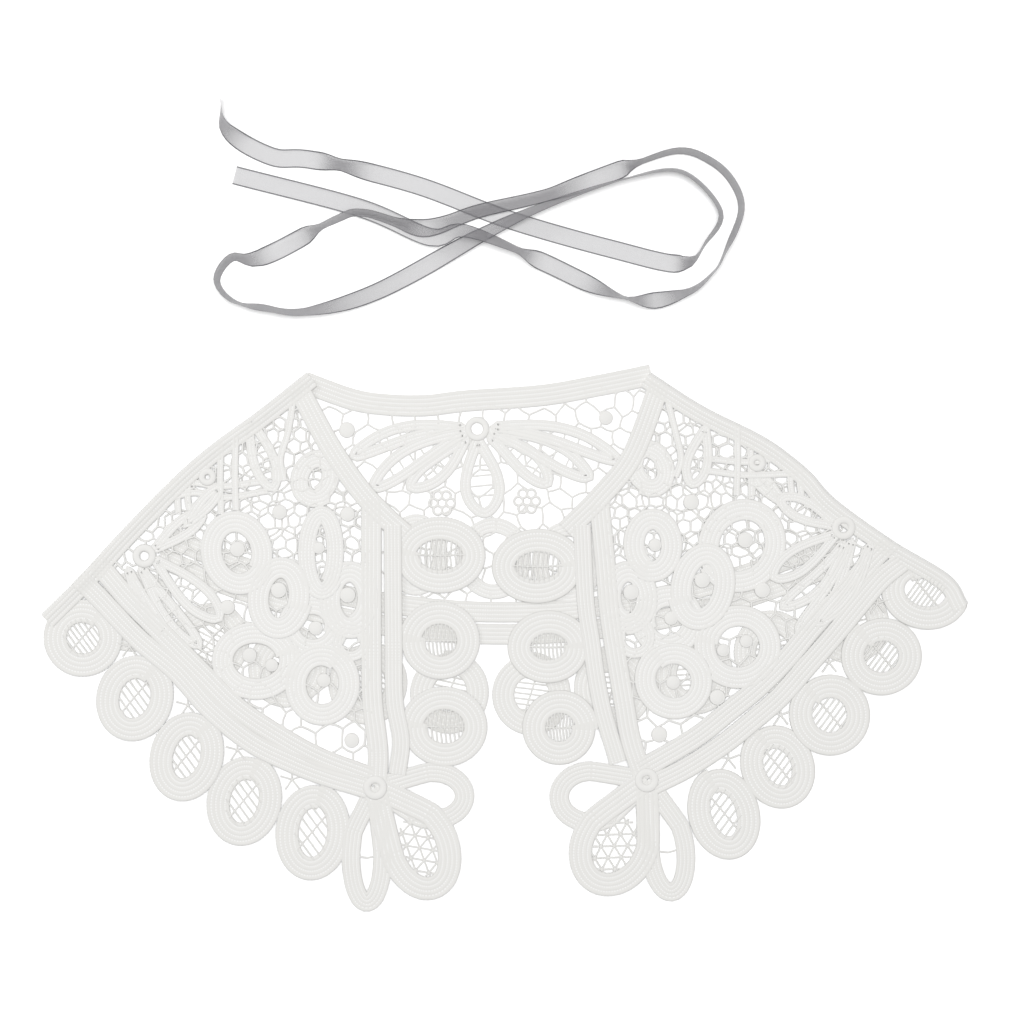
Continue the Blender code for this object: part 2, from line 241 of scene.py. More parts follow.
def new_material(name, **constants):
    """An empty Principled material, and a way to feed its sockets."""
    material = bpy.data.materials.new(name)
    material.use_nodes = True
    tree = material.node_tree
    shader = tree.nodes["Principled BSDF"]
    for socket, value in constants.items():
        shader.inputs[socket.replace("_", " ")].default_value = value
    return material, tree, shader


def organza():
    """Sheer grey organza: an open plain weave between two dense selvedges."""
    material, tree, shader = new_material("grey_organza", Roughness=0.45, Sheen_Weight=0.15)
    place = add_node(tree, "ShaderNodeUVMap", {"uv_map": "UVMap"})
    along, across = place.split()
    edge = abs(across - 0.5) > (0.5 - SELVEDGE)
    stand = add_node(tree, "ShaderNodeAttribute", {"attribute_name": "stand"}, output=2)
    cloud = add_node(tree, "ShaderNodeTexNoise", Vector=place, Scale=160.0, Detail=3.0)
    weave = along.wave(WEFT_PITCH) * across.wave(WARP_PITCH)
    density = 0.27 + 0.12 * cloud + 0.06 * weave + 0.52 * stand + 0.6 * edge
    tint = edge.blend(SHEER_GREY, SELVEDGE_GREY)
    bump = add_node(tree, "ShaderNodeBump", Strength=0.25, Distance=0.0001, Height=weave)
    tree.links.new(tint.link, shader.inputs["Base Color"])
    tree.links.new(density.link, shader.inputs["Alpha"])
    tree.links.new(bump.link, shader.inputs["Normal"])
    return material


def turn_at(position):
    """Degrees of turn at a place on the route, counted in knots."""
    return float(np.interp(position, *zip(*RIBBON_TURNS)))


def ribbon_sections():
    """The ribbon's middle at each step, the unit vector across it there, and how upright it is."""
    middles = smooth(RIBBON_ROUTE, RIBBON_STEP)
    turns = []
    for index, (start, end) in enumerate(zip(RIBBON_ROUTE, RIBBON_ROUTE[1:])):
        count = max(1, round((Vector(end) - Vector(start)).length / RIBBON_STEP))
        turns += [turn_at(index + step / count) for step in range(count)]
    turns.append(turn_at(len(RIBBON_ROUTE) - 1))
    turns = np.convolve(np.pad(turns, 1, mode="edge"), (0.25, 0.5, 0.25), mode="valid")
    sections = []
    for middle, side, turn in zip(middles, sideways(middles), turns):
        angle = math.radians(turn)
        across = Vector((side.x * math.cos(angle), side.y * math.cos(angle), math.sin(angle)))
        low = max(middle.z, 0) + RIBBON_CLEARANCE
        centre = Vector((middle.x, middle.y, low + RIBBON_WIDTH / 2 * math.sin(angle)))
        sections.append((centre, across, math.sin(angle) ** 2))
    return sections


def first_row(bm):
    row = [bm.verts.new((share, 0, 0)) for share in RIBBON_SHARES]
    for pair in zip(row, row[1:]):
        bm.edges.new(pair)
    return row


def next_row(bm, row):
    """Extrude the ribbon's open end, and give the new vertices in the row's own order."""
    edges = [bm.edges.get(pair) for pair in zip(row, row[1:])]
    grown = bmesh.ops.extrude_edge_only(bm, edges=edges)["geom"]
    fresh = [item for item in grown if isinstance(item, bmesh.types.BMVert)]
    links = {other: vert for vert in fresh for edge in vert.link_edges
             for other in [edge.other_vert(vert)] if other in row}
    return [links[vert] for vert in row]


def ribbon_tie():
    bm = bmesh.new()
    stand = bm.verts.layers.float.new("stand")
    rows, path = [], []
    for centre, across, upright in ribbon_sections():
        path.append(centre * MM)
        rows.append(next_row(bm, rows[-1]) if rows else first_row(bm))
        for vert, share in zip(rows[-1], RIBBON_SHARES):
            vert.co = (centre + across * share * RIBBON_WIDTH / 2) * MM
            vert[stand] = upright
    uv = bm.loops.layers.uv.new("UVMap")
    spots = {}
    run = 0.0
    for index, row in enumerate(rows):
        if index:
            run += (path[index] - path[index - 1]).length
        spots.update({vert: (run, (share + 1) / 2) for vert, share in zip(row, RIBBON_SHARES)})
    for face in bm.faces:
        face.smooth = True
        for loop in face.loops:
            loop[uv].uv = spots[loop.vert]
    bmesh.ops.recalc_face_normals(bm, faces=bm.faces)
    mesh = bpy.data.meshes.new("ribbon_tie")
    bm.to_mesh(mesh)
    bm.free()
    ribbon = bpy.data.objects.new("ribbon_tie", mesh)
    bpy.context.scene.collection.objects.link(ribbon)
    mesh.materials.append(organza())
    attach(ribbon, "root")
    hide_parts("ribbon_upper_tail", "ribbon_inner_loop", "ribbon_outer_loop",
                "ribbon_lower_tail")


ribbon_tie()


# ------------------------------------------------------------------------------
# Lace back panel: the wrong side of the cape's back, seen inside the neck. White cotton tape
# lace: a worked ring with a fan of leaves, on a ground of bars.
# ------------------------------------------------------------------------------
WALL = 1.2
BACK_MIDDLE = WALL / 2      # height of the middle of the back layer
FRONT_MIDDLE = 2.1          # and of the front layer that lies on it
TAPE = 11.0                 # the woven tape
NECK_TAPE = 11.5
TAPE_DEPTH = 0.35           # from the bottom of its grooves to its underside
RIB_HEIGHT = 0.3
RIB_FULLNESS = 0.7          # under 1, ribs are rounder than a sine
RIB_POINTS = 4              # points that a rib takes in a tape's section
CROSSING_RISE = 0.12        # each tape lies this much over the last, four deep
LINE_STEP = 1.7
BAR = 1.15                  # thickness of a bar of twisted thread
BAR_FLATNESS = 0.85
THREAD = 0.95               # a finer bar, inside a loop or a leaf
FINE_CELL, COARSE_CELL = 7.6, 12.5  # the grounds of bars, by the width of one cell
HONEYCOMB_ROW = 0.866       # how far apart their rows are, in cells
UNDER_TAPE = 0.7            # share of a tape's half width that hides a bar's end
PIN_PITCH = 0.0013          # metres between a tape's pin holes
PIN_REACH = 0.14            # how far a hole reaches from its groove, in ribs
PIN_SHADE = (0.75, 0.75, 0.745)     # the table's white, seen through
CLOUDING = 0.965            # the cotton's darker patches, as a share of its shade
HAND = {"left": 1, "right": -1}     # the fronts are worked in opposite hands

Oval = namedtuple("Oval", "x y half_width half_height lean")
Leaf = namedtuple("Leaf", "base_x base_y tip_x tip_y half_width bend bars")
Spot = namedtuple("Spot", "x y radius")

FOLD = {
    "left": [(-107, 144.5), (-133.5, 123.5), (-157, 106.5), (-178, 88.5), (-207, 59), (-229, 35),
             (-250, 14)],
    "right": [(78.5, 144.5), (107.5, 126), (141, 109), (163.5, 92), (178.5, 76), (209, 54),
              (240, 35), (250, 20)],
}
ROLL = 1.4                  # radius of the fold's roll, at the middle of the cloth
ROLL_EDGE = 2.0             # how far inside the folded edge it starts, and its axis's height
ROLL_SETTLE = 0.05          # how much the cloth sinks where it meets the roll
LEAST_HEIGHT = 0.05         # of any front lace over the table
FOLD_BAND = 9.0             # cloth that lifts towards the roll


def fold_frame(side):
    """Places along a folded edge, and the way into the front from each."""
    line = smooth(FOLD[side], 1.0)
    ways = [way * HAND[side] for way in sideways(line)]
    return np.array([tuple(p) for p in line]), np.array([tuple(w) for w in ways])


FOLD_FRAMES = {side: fold_frame(side) for side in FOLD}


def depth_from_fold(points, side):
    """How far inside the folded edge each flat point is, with its nearest place and way in."""
    places, ways = FOLD_FRAMES[side]
    nearest = np.empty(len(points), dtype=int)
    batch = 20000
    for start in range(0, len(points), batch):
        gaps = points[start:start + batch, None, :] - places[None]
        nearest[start:start + batch] = (gaps ** 2).sum(axis=2).argmin(axis=1)
    depth = ((points - places[nearest]) * ways[nearest]).sum(axis=1)
    return depth, ways[nearest]


def lay_down(flat, side):
    """Heights for flat lace: level on the table, or on the back and rolled under at the fold."""
    laid = flat.copy()
    if side is None:
        laid[:, 2] += BACK_MIDDLE
        return laid
    depth, ways = depth_from_fold(flat[:, :2], side)
    top = ROLL_EDGE + ROLL - ROLL_SETTLE
    rise = np.clip((FOLD_BAND - depth) / (FOLD_BAND - ROLL_EDGE), 0, 1)
    level = FRONT_MIDDLE + (top - FRONT_MIDDLE) * rise ** 2 * (3 - 2 * rise)
    laid[:, 2] = level + flat[:, 2]
    rolled = depth < ROLL_EDGE
    angle = np.clip((ROLL_EDGE - depth) / ROLL, 0, math.pi)
    under = np.clip(ROLL_EDGE - depth - math.pi * ROLL, 0, None)
    reach = ROLL + flat[:, 2]
    new_depth = ROLL_EDGE - reach * np.sin(angle) + under
    height = ROLL_EDGE + reach * np.cos(angle)
    shift = (new_depth - depth)[:, None] * ways
    laid[rolled, 0:2] += shift[rolled]
    laid[rolled, 2] = np.maximum(height[rolled], LEAST_HEIGHT)
    return laid


def round_section(width, height, sides):
    """A cord's cross-section, wider than it is high."""
    angles = [2 * math.pi * (index + 0.5) / sides for index in range(sides)]
    return [(width / 2 * math.cos(angle), height / 2 * math.sin(angle)) for angle in angles]


def circle_line(x, y, radius, steps):
    return [Vector((x + radius * math.cos(a), y + radius * math.sin(a)))
            for a in np.linspace(0, 2 * math.pi, steps + 1)[:-1]]


class Lacework:
    """One piece of lace, worked flat in millimetres and then laid in its place."""

    def __init__(self, name, side=None, lift=0.1):
        self.name, self.side, self.lift = name, side, lift
        self.parts = []
        self.tapes = []     # places on the work that hide a bar's end, each with its reach
        self.turn = 0

    def sweep(self, lines, profile, lift, ribs=(), closed=False):
        """Lengths of one cross-section along lines of points, all as one mesh."""
        section = bpy.data.curves.new("section", "CURVE")
        ring = section.splines.new("POLY")
        ring.points.add(len(profile) - 1)
        for point, (across, up) in zip(ring.points, profile):
            point.co = (across, up, 0, 1)
        ring.use_cyclic_u = True
        section_holder = bpy.data.objects.new("section", section)
        curve = bpy.data.curves.new("sweep", "CURVE")
        curve.dimensions = "3D"
        curve.twist_mode = "Z_UP"
        curve.bevel_mode = "OBJECT"
        curve.bevel_object = section_holder
        curve.use_fill_caps = True
        total = 0.0
        for line in lines:
            spline = curve.splines.new("POLY")
            spline.points.add(len(line) - 1)
            for point, place in zip(spline.points, line):
                point.co = (place.x, place.y, lift, 1)
            spline.use_cyclic_u = closed
            spline.use_smooth = True
            total += sum((b - a).length for a, b in zip(line, line[1:]))
        holder = bpy.data.objects.new("sweep", curve)
        bpy.context.scene.collection.objects.link(section_holder)
        bpy.context.scene.collection.objects.link(holder)
        shape = holder.evaluated_get(bpy.context.evaluated_depsgraph_get())
        mesh = bpy.data.meshes.new_from_object(shape)
        if mesh.uv_layers:
            spots = np.empty(2 * len(mesh.loops), dtype=np.float32)
            mesh.uv_layers[0].data.foreach_get("uv", spots)
            spots[0::2] *= total / len(lines) * MM
            ribs = [*ribs, ribs[0]] if ribs else [0.0] * (len(profile) + 1)
            spots[1::2] = np.interp(spots[1::2] * len(profile), np.arange(len(ribs)), ribs)
            mesh.uv_layers[0].data.foreach_set("uv", spots)
        self.parts.append(mesh)
        for thing in (holder, section_holder):
            bpy.data.objects.remove(thing, do_unlink=True)

    def tape(self, line, width=TAPE, ribs=5, closed=False):
        """Woven tape: flat, with low ribs and a row of pin holes between each two."""
        self.turn += 1
        self.tapes += [(point, width / 2) for point in line]
        points = RIB_POINTS * ribs
        shares = [1 - index / points for index in range(points + 1)]
        waves = [abs(math.sin(math.pi * ribs * share)) ** RIB_FULLNESS for share in shares]
        top = [(width * (share - 0.5), RIB_HEIGHT * wave) for share, wave in zip(shares, waves)]
        profile = [*top, (-width / 2, -TAPE_DEPTH), (width / 2, -TAPE_DEPTH)]
        counts = [share * ribs for share in [*shares, 0, 1]]
        self.sweep([line], profile, self.lift + CROSSING_RISE * (self.turn % 4), counts, closed)

    def bars(self, lines, thickness=BAR, lift=0.0, closed=False):
        profile = round_section(thickness, thickness * BAR_FLATNESS, 6)
        self.sweep(lines, profile, lift, closed=closed)

    def spot(self, x, y, radius, height=0.9, rim_cord=1.0):
        """A worked spot: a low dome inside a corded rim."""
        bm = bmesh.new()
        bmesh.ops.create_uvsphere(bm, u_segments=20, v_segments=8, radius=radius)
        bmesh.ops.scale(bm, vec=(1, 1, height / radius), verts=bm.verts)
        bmesh.ops.translate(bm, vec=(x, y, 0.1), verts=bm.verts)
        mesh = bpy.data.meshes.new("spot")
        bm.to_mesh(mesh)
        bm.free()
        self.parts.append(mesh)
        rim = circle_line(x, y, radius * 0.88, 24)
        self.bars([rim], rim_cord, 0.25, closed=True)
        self.tapes += [(point, rim_cord) for point in rim] + [(Vector((x, y)), radius)]

    def ring(self, x, y, outer, hole, height=1.7):
        """A raised ring worked over many threads."""
        line = circle_line(x, y, (outer + hole) / 2, 32)
        self.sweep([line], round_section(outer - hole, height, 10), 0.25, closed=True)
        self.tapes += [(point, (outer - hole) / 2) for point in line]

    def leaf(self, leaf, tape=5.0):
        """A leaf outlined in narrow tape, blunt and fullest past its middle, with bars across."""
        base, tip = Vector((leaf.base_x, leaf.base_y)), Vector((leaf.tip_x, leaf.tip_y))
        way = tip - base
        side = Vector((-way.y, way.x)).normalized()
        reach = leaf.half_width - tape / 2

        def across(t, share):
            fullness = math.sin(math.pi * t ** 1.55) ** 0.6 if 0 < t < 1 else 0
            bow = side * leaf.bend * math.sin(math.pi * t)
            return base + way * t + bow + side * reach * fullness * share

        marks = [0, 0.08, 0.2, 0.35, 0.5, 0.65, 0.78, 0.9, 0.97]
        up = [across(t, 1) for t in marks]
        down = [across(t, -1) for t in [1, *marks[:0:-1]]]
        self.tape(smooth([*up, *down], LINE_STEP, closed=True), tape, ribs=3, closed=True)
        inner = [index / (leaf.bars + 1) * 0.7 + 0.2 for index in range(1, leaf.bars + 1)]
        self.bars([[across(t, -1), across(t, 0), across(t, 1)] for t in inner], THREAD)

    def net(self, inside, corner, far, cell, seed):
        """A ground of bars: an uneven honeycomb that joins the tapes round it."""
        chance = random.Random(seed)
        columns = int((far[0] - corner[0]) / cell) + 3
        rows = int((far[1] - corner[1]) / (cell * HONEYCOMB_ROW)) + 3
        sites = {}
        for column in range(-rows // 2 - 2, columns + 2):
            for row in range(-1, rows + 2):
                angle = chance.uniform(0, 2 * math.pi)
                push = chance.uniform(0.1, 0.42) * cell
                sites[column, row] = Vector((
                    corner[0] + (column + row / 2) * cell + push * math.cos(angle),
                    corner[1] + row * cell * HONEYCOMB_ROW + push * math.sin(angle)))
        places = [point for point, _ in self.tapes]
        reaches = np.array([reach for _, reach in self.tapes])
        spread = np.array([tuple(point) for point in places])

        def hidden(point):
            gaps = np.hypot(spread[:, 0] - point.x, spread[:, 1] - point.y)
            return bool((gaps < reaches * UNDER_TAPE).any())

        def centre(*keys):
            return sum((sites[key] for key in keys), Vector((0, 0))) / 3

        lines = []
        for column, row in list(sites):
            around = [(column + a, row + b) for a in (-1, 0, 1) for b in (-1, 0, 1)]
            if not all(key in sites for key in around):
                continue
            up = centre((column, row), (column + 1, row), (column, row + 1))
            downs = [centre((column + 1, row), (column + 1, row + 1), (column, row + 1)),
                     centre((column, row), (column, row + 1), (column - 1, row + 1)),
                     centre((column + 1, row - 1), (column + 1, row), (column, row))]
            for down in downs:
                if not (inside(up) and inside(down)) or (hidden(up) and hidden(down)):
                    continue
                way = down - up
                bow = Vector((-way.y, way.x)) * chance.uniform(-0.08, 0.08)
                lines.append([up, (up + down) / 2 + bow, down])
        self.bars(lines, BAR, -0.05)

    def lay(self, material, nodes):
        """Join the work, lay it in place, and let it stand for its solids."""
        bm = bmesh.new()
        for mesh in self.parts:
            bm.from_mesh(mesh)
            bpy.data.meshes.remove(mesh)
        flat = np.array([vert.co[:] for vert in bm.verts])
        laid = lay_down(flat, self.side) * MM
        for vert, place in zip(bm.verts, laid):
            vert.co = place
        for face in bm.faces:
            face.smooth = True
        bmesh.ops.recalc_face_normals(bm, faces=bm.faces)
        mesh = bpy.data.meshes.new(self.name)
        bm.to_mesh(mesh)
        bm.free()
        piece = bpy.data.objects.new(self.name, mesh)
        bpy.context.scene.collection.objects.link(piece)
        mesh.materials.append(material)
        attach(piece, "root")
        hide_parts(*nodes)


def cotton(name, shade, grain_size):
    """White cotton, matt and a little warm; a tape's grooves have rows of pale pin holes."""
    material, tree, shader = new_material(name, Roughness=0.9, Sheen_Weight=0.2)
    place = add_node(tree, "ShaderNodeTexCoord", output=3)
    along, rib = add_node(tree, "ShaderNodeTexCoord", output=2).split()
    groove = (0.5 - rib.math("PINGPONG", 0.5)) > 0.5 - PIN_REACH
    pins = along.wave(PIN_PITCH) > -0.1         # a hole takes a little over half of each pitch
    past_the_edge = rib > 0.4           # leaves out a tape's first edge, and every plain bar
    hole = groove * pins * past_the_edge
    cloud = add_node(tree, "ShaderNodeTexNoise", Vector=place, Scale=60.0, Detail=4.0)
    grain = add_node(tree, "ShaderNodeTexNoise", Vector=place, Scale=1 / grain_size, Detail=2.0)
    worn = [value * CLOUDING for value in shade]
    tint = hole.blend(cloud.blend((*worn, 1), (*shade, 1)), (*PIN_SHADE, 1))
    bump = add_node(tree, "ShaderNodeBump", Strength=0.3, Distance=0.0003, Height=grain)
    tree.links.new(tint.link, shader.inputs["Base Color"])
    tree.links.new(bump.link, shader.inputs["Normal"])
    return material


TAPE_COTTON = cotton("tape_cotton", (0.67, 0.664, 0.645), 0.0006)
GROUND_COTTON = cotton("thread_cotton", (0.69, 0.684, 0.667), 0.0005)

BACK_NECK = [(-114, 141), (-108, 139), (-83, 130), (-65, 127), (-43, 126.5), (-21, 129),
             (20, 132), (49, 137), (79, 143), (88, 145.5)]
BACK_CENTRE_Y = 438.5
BACK_BAND_RADIUS = 423.5
BACK_TAPE_RADIUS = 435.5
BACK_LOOP_RADIUS = 468.0
BACK_RING = (-15, 114)
BACK_LEAVES = [
    Leaf(-14.6, 107.5, -10.8, 68.6, 12.1, 0, 4),
    Leaf(-21, 109, -50.8, 82.6, 8.1, 2, 4),
    Leaf(-22, 112, -70.7, 82.6, 8.1, -3, 5),
    Leaf(-22.7, 114.5, -82.1, 99.4, 6.5, -5, 5),
    Leaf(-8, 110, 23.2, 84.8, 8.6, 2, 4),
    Leaf(-7, 113, 45.4, 88, 8.1, 3, 4),
    Leaf(-5.4, 115, 60.5, 97.2, 7, 5, 5),
]
BACK_SMALL_FLOWERS = [(-34, 74), (11.9, 75)]
SMALL_PETAL = 2.9
SMALL_PETAL_REACH = 4.6     # from the flower's middle to a petal's
SMALL_FLOWER = 9.0
BACK_LOOPS_INSIDE = [Oval(-6, 44, 20, 22, 0), Oval(-48, 46, 17, 22, 0), Oval(34, 42, 19, 22, 0)]
BACK_SPOTS = [Spot(-85.3, 113.4, 4.3), Spot(54.5, 119.9, 3.8)]


def oval_line(oval, inset, step=LINE_STEP):
    """Points round an oval, that far inside its outer edge."""
    across, along = oval.half_width - inset, oval.half_height - inset
    turn = math.radians(oval.lean)
    steps = max(12, round(math.pi * (across + along) / step))
    line = []
    for index in range(steps):
        angle = 2 * math.pi * index / steps
        x, y = across * math.cos(angle), along * math.sin(angle)
        line.append(Vector((oval.x + x * math.cos(turn) - y * math.sin(turn),
                            oval.y + x * math.sin(turn) + y * math.cos(turn))))
    return line


def arc_line(radius, first, last, steps=60):
    """Points round the back panel's own centre, by angles from straight down, in degrees."""
    angles = [math.radians(first + (last - first) * step / steps) for step in range(steps + 1)]
    return [Vector((radius * math.sin(a), BACK_CENTRE_Y - radius * math.cos(a))) for a in angles]


def inside_both_folds(point, margin=5.0):
    flat = np.array([[point.x, point.y]])
    return all(depth_from_fold(flat, side)[0][0] > margin for side in FOLD)


def back_panel():
    work = Lacework("back_lace")
    work.ring(*BACK_RING, outer=6.7, hole=3.0)
    for leaf in BACK_LEAVES:
        work.leaf(leaf, tape=5.8)
    for spot in BACK_SPOTS:
        work.spot(*spot)
    for x, y in BACK_SMALL_FLOWERS:
        for turn in range(0, 360, 60):
            angle = math.radians(turn)
            petal = Oval(x + SMALL_PETAL_REACH * math.cos(angle),
                         y + SMALL_PETAL_REACH * math.sin(angle), SMALL_PETAL, SMALL_PETAL, 0)
            line = oval_line(petal, inset=0.5, step=1.0)
            work.bars([line], thickness=1.5, lift=0.1, closed=True)
        work.tapes += [(Vector((x, y)), SMALL_FLOWER)]
    for oval in BACK_LOOPS_INSIDE:
        work.tape(oval_line(oval, inset=4), width=8, ribs=4, closed=True)
    neck = smooth(BACK_NECK, 3.0)

    def inside(point):
        from_centre = math.hypot(point.x, point.y - BACK_CENTRE_Y)
        if from_centre > BACK_BAND_RADIUS or not inside_both_folds(point):
            return False
        nearest = min(neck, key=lambda place: (place - point).length)
        return point.y < nearest.y

    work.net(inside, (-250, 0), (250, 150), COARSE_CELL, seed=7)
    work.lay(GROUND_COTTON, ["back_panel", "back_ring"])


def back_neck_tape():
    work = Lacework("back_neck_tape")
    work.tape(smooth(BACK_NECK[1:-1], LINE_STEP), NECK_TAPE)
    work.lay(TAPE_COTTON, ["neck_band_back"])


back_panel()
back_neck_tape()


# ------------------------------------------------------------------------------
# Back hem: the tape that frames the back, a second tape beside it, and loops of tape with a
# leaf-veined net in each. The fronts hide most of it. The last of the eleven loops, at the
# right, isn't worked: it would stick out past the folded edge.
# ------------------------------------------------------------------------------
BACK_HALF_ANGLE = 25.4      # of each tape, round the back's own centre
BACK_LOOP_PITCH = 5.42
BACK_LOOPS = 11
BACK_LOOP_SIZE = (21.7, 22.5)
LOOP_ROOM = 20.0            # that a loop's middle needs from both folds
LOOP_TAPE = 12.5
LOOP_START = 1.3            # a turn of tape starts this far inside its oval
LOOP_DRIFT = 1.7            # and moves outwards as it goes, to lie beside its own start


def oval_reach(oval, inset, start, way):
    """Where a ray from a place inside an oval meets it; both in the oval's own directions."""
    across, along = oval.half_width - inset, oval.half_height - inset
    x, y = start[0] / across, start[1] / along
    dx, dy = way[0] / across, way[1] / along
    a, b, c = dx * dx + dy * dy, x * dx + y * dy, x * x + y * y - 1
    run = (-b + math.sqrt(max(b * b - a * c, 0))) / a
    return start[0] + way[0] * run, start[1] + way[1] * run


def oval_place(oval, place):
    """A place in an oval's own directions, on the work."""
    turn = math.radians(oval.lean)
    return Vector((oval.x + place[0] * math.cos(turn) - place[1] * math.sin(turn),
                   oval.y + place[0] * math.sin(turn) + place[1] * math.cos(turn)))


def bar_in_oval(oval, inset, start, way):
    """A straight bar from a place inside an oval to its edge."""
    end = oval_reach(oval, inset, start, way)
    return [oval_place(oval, start), oval_place(oval, end)]


def leaf_vein_net(work, oval, inset, tilt, slant=0.2, ribs=3, tucked=1.5):
    """A spine that leans across the loop, with ribs to either side of it."""
    edge = inset - tucked
    angle = math.radians(tilt)
    spine = Vector((-math.sin(angle), math.cos(angle)))
    length = oval.half_height - inset
    lines = [bar_in_oval(oval, edge, (0, 0), tuple(spine)),
             bar_in_oval(oval, edge, (0, 0), tuple(-spine))]
    for index in range(-ribs, ribs + 1):
        start = spine * length * index / (ribs + 0.4)
        for way in (-1, 1):
            rib = (Vector((spine.y, -spine.x)) + spine * slant) * way
            lines.append(bar_in_oval(oval, edge, tuple(start), tuple(rib)))
    work.bars(lines, THREAD)


def loop_of_tape(work, oval, anchor, width=12.0, ribs=5, spin=1):
    """One turn of tape, its two ends tucked under whatever holds it at the anchor."""
    turn = math.radians(oval.lean)
    way = Vector((anchor[0] - oval.x, anchor[1] - oval.y))
    across = (way.x * math.cos(turn) + way.y * math.sin(turn)) / oval.half_width
    along = (way.y * math.cos(turn) - way.x * math.sin(turn)) / oval.half_height
    start = math.atan2(along, across)
    steps = round(math.pi * (oval.half_width + oval.half_height - width) / LINE_STEP)
    line = []
    for index in range(steps + 3):
        share = index / steps
        angle = start + 2 * math.pi * spin * share
        inset = width / 2 + LOOP_START - LOOP_DRIFT * share
        line.append(oval_place(oval, ((oval.half_width - inset) * math.cos(angle),
                                      (oval.half_height - inset) * math.sin(angle))))
    work.tape(line, width, ribs)


def drop_of_tape(work, oval, anchor, width, ribs=5):
    """A loop that springs from one place and comes back to it, like a drop."""
    turn = math.radians(oval.lean)
    start = Vector((anchor[0] - oval.x, anchor[1] - oval.y))
    first = math.atan2((start.y * math.cos(turn) - start.x * math.sin(turn)) / oval.half_height,
                       (start.x * math.cos(turn) + start.y * math.sin(turn)) / oval.half_width)
    inset = width / 2
    knots = [Vector(anchor)]
    for degrees in range(60, 301, 20):
        angle = first + math.radians(degrees)
        knots.append(oval_place(oval, ((oval.half_width - inset) * math.cos(angle),
                                       (oval.half_height - inset) * math.sin(angle))))
    work.tape(smooth([*knots, Vector(anchor)], LINE_STEP), width, ribs)


def back_hem():
    work = Lacework("back_hem_tapes")
    for radius in (BACK_BAND_RADIUS, BACK_TAPE_RADIUS):
        work.tape(arc_line(radius, -BACK_HALF_ANGLE, BACK_HALF_ANGLE, steps=220))
    for index in range(BACK_LOOPS):
        turn = index * BACK_LOOP_PITCH - BACK_HALF_ANGLE
        place = arc_line(BACK_LOOP_RADIUS, turn, turn, steps=1)[0]
        if inside_both_folds(place, LOOP_ROOM):
            oval = Oval(place.x, place.y, *BACK_LOOP_SIZE, turn)
            loop_of_tape(work, oval, (0, BACK_CENTRE_Y))
            leaf_vein_net(work, oval, LOOP_TAPE, tilt=-20)
    names = [f"back_hem_loop_{index + 1}" for index in range(BACK_LOOPS)]
    work.lay(TAPE_COTTON, ["lower_band_back", "hem_ground_back", *names])


back_hem()


# ------------------------------------------------------------------------------
# Lace fronts: each folds over at the shoulder and lies on the back, right side up. A flower of
# looped tape, a fan of leaves by a ring, a trellis, worked spots, and a ground of bars between.
# ------------------------------------------------------------------------------
FRONT_NECK = {
    "left": [(-118, 146), (-112, 137), (-94, 104), (-78, 81), (-65, 67), (-54, 57)],
    "right": [(89, 146), (84, 139), (69, 100), (51, 77), (33, 59)],
}
FRONT_BAND = {
    "left": [(-72, 76), (-72, 0), (-71.5, -32), (-68.5, -59), (-69, -78)],
    "right": [(51, 73), (54, 43), (57, 11), (64, -32), (68, -54), (75, -75)],
}
FRONT_EDGE = {
    "left": [(-60.5, 62), (-60, 0), (-59.5, -32), (-56, -54), (-58, -72)],
    "right": [(41.5, 62), (43.5, 21.5), (46.5, 0), (49.5, -21.5), (53.5, -40.5), (61, -66)],
}
LOWER_BAND = {
    "left": [(-228, 50), (-215, 36), (-202, 21), (-181, 0), (-164, -17), (-146, -35),
             (-126, -49), (-101, -63), (-72, -74)],
    "right": [(213, 58), (198, 43), (183, 26), (167, 8), (151, -11), (136, -26), (120, -39),
              (102, -53), (73, -70)],
}
HEM_TAPE = {
    "left": [(-232, 36), (-219, 23), (-198, 1), (-177, -17), (-159, -37), (-137, -55),
             (-115, -66), (-97, -73), (-74, -80)],
    "right": [(214, 42), (203, 33), (191, 19), (177, 2), (163, -14), (148, -31), (133, -44),
              (118, -56), (98, -69), (80, -78)],
}
FLOWER = {
    "left": [
        Oval(-83.7, 22.1, 16.5, 21, 0), Oval(-98.8, 47.5, 13, 25.5, 0),
        Oval(-121.5, 23.2, 17.5, 22.5, -6), Oval(-103.7, 7.6, 19, 18.5, 0),
        Oval(-134.5, -10.8, 24, 21.5, 0), Oval(-98.8, -23.8, 20.5, 22.5, 0),
        Oval(-144.2, 47.5, 20, 23, 14), Oval(-102, 87.5, 13.5, 16, -20),
    ],
    "right": [
        Oval(66.4, 23.2, 16, 20, 0), Oval(79.4, 51.5, 16.5, 20, 0),
        Oval(106.4, 29.2, 18, 24, -12), Oval(88, 10.8, 19.5, 19.5, 0),
        Oval(127.4, 51.3, 24, 26, -30), Oval(125.8, -3.2, 23.5, 23, 0),
        Oval(91.3, -21.6, 21, 21.5, 40), Oval(77.8, 92.9, 13.5, 16, 24),
    ],
}
FLOWER_CENTRE = {"left": Oval(-83.2, -0.5, 10.5, 11, 0), "right": Oval(69.7, 1.6, 11.5, 12, 0)}
